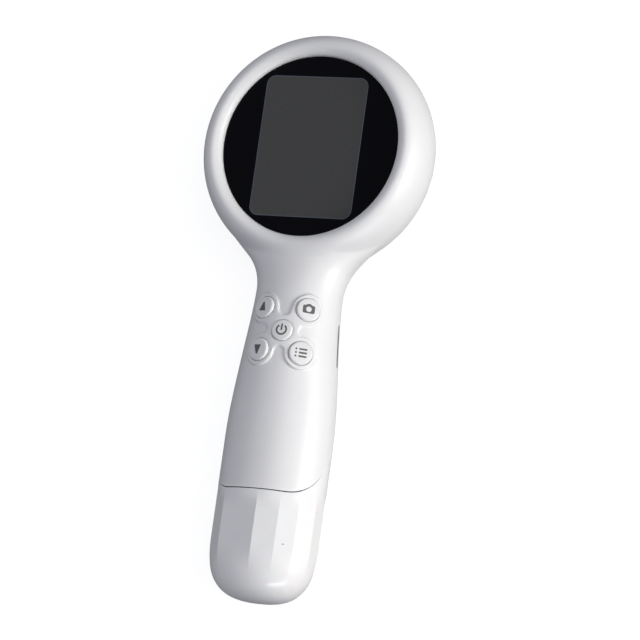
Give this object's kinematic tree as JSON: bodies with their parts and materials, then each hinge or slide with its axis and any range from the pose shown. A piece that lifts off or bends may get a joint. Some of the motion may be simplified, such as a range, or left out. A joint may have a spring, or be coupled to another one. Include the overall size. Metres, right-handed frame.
{
  "type": "handheld ultrasound therapy device",
  "caption": "Handheld ultrasound therapy device: round display head with a metal treatment face behind it, keypad grip and a slide-off battery cover.",
  "frame": {"origin": "centre of the footprint on the plane the device lies on, which is the plane of the treatment face", "axes": "+X to the right of the display, +Y from the grip towards the head, +Z along the display's normal, upwards as it lies on its back"},
  "size_m": [0.0996, 0.2394, 0.0432],
  "materials": {
    "aluminium": "finely turned aluminium",
    "board_green": "green circuit board",
    "cell_wrap": "blue shrink wrap over a steel can",
    "chassis_black": "black moulded plastic",
    "cover_white": "glossy white plastic",
    "display_glass": "black-backed polished glass",
    "flap_grey": "dark grey soft plastic",
    "gasket_black": "black foam",
    "key_white": "satin white plastic with a printed symbol",
    "lcd_grey": "dark grey switched-off screen",
    "nickel": "nickel-plated spring steel",
    "piezo_ceramic": "fired ceramic",
    "rubber_grey": "dark grey rubber",
    "shell_white": "fine satin moulded white plastic",
    "silicone": "translucent grey silicone",
    "steel": "zinc-plated steel",
    "switch_black": "black moulded plastic"
  },
  "bodies": {
    "housing": {"backing_ring": "chassis_black", "battery_cell_left": "cell_wrap", "battery_cell_right": "cell_wrap", "battery_chassis": "chassis_black", "cell_contact_left": "nickel", "cell_contact_right": "nickel", "charge_socket": "steel", "contact_plate_inner": "nickel", "contact_plate_outer": "nickel", "display_bracket": "chassis_black", "display_gasket": "gasket_black", "display_glass": "display_glass", "driver_board": "board_green", "driver_shield": "steel", "face_seal": "rubber_grey", "front_shell": "shell_white", "key_board": "board_green", "keypad_mat": "silicone", "lcd_module": "lcd_grey", "main_board": "board_green", "piezo_contact": "nickel", "piezo_disc": "piezo_ceramic", "power_board": "board_green", "processor": "switch_black", "rear_shell": "shell_white", "rest_foot": "rubber_grey", "retaining_ring": "chassis_black", "screw_grip_left": "steel", "screw_grip_right": "steel", "screw_neck_left": "steel", "screw_neck_right": "steel", "socket_tongue": "switch_black", "sounder": "switch_black", "switch_down": "switch_black", "switch_menu": "switch_black", "switch_power": "switch_black", "switch_snapshot": "switch_black", "switch_up": "switch_black", "treatment_face": "aluminium"},
    "key_up": {"key_up": "key_white"},
    "key_snapshot": {"key_snapshot": "key_white"},
    "key_power": {"key_power": "key_white"},
    "key_down": {"key_down": "key_white"},
    "key_menu": {"key_menu": "key_white"},
    "battery_cover": {"battery_cover": "cover_white"},
    "port_flap": {"port_flap": "flap_grey"}
  },
  "joints": [
    {"name": "up_press", "type": "slide", "parent": "housing", "child": "key_up", "axis": [0.3622, -0.1555, -0.919], "range_m": [0, 0.0005], "stiffness_N_per_m": 1200},
    {"name": "snapshot_press", "type": "slide", "parent": "housing", "child": "key_snapshot", "axis": [-0.5272, -0.1388, -0.8383], "range_m": [0, 0.0005], "stiffness_N_per_m": 1200},
    {"name": "power_press", "type": "slide", "parent": "housing", "child": "key_power", "axis": [-0.0894, -0.1153, -0.9893], "range_m": [0, 0.0005], "stiffness_N_per_m": 1200},
    {"name": "down_press", "type": "slide", "parent": "housing", "child": "key_down", "axis": [0.2978, -0.0297, -0.9542], "range_m": [0, 0.0005], "stiffness_N_per_m": 1200},
    {"name": "menu_press", "type": "slide", "parent": "housing", "child": "key_menu", "axis": [-0.5065, -0.042, -0.8612], "range_m": [0, 0.0005], "stiffness_N_per_m": 1200},
    {"name": "cover_slide", "type": "slide", "parent": "housing", "child": "battery_cover", "axis": [0, -1, 0], "range_m": [0, 0.085]},
    {"name": "flap_hinge", "type": "hinge", "parent": "housing", "child": "port_flap", "pos_m": [0.02001, -0.02, 0.0191], "axis": [0, 0, -1], "range_deg": [0, 100]}
  ]
}
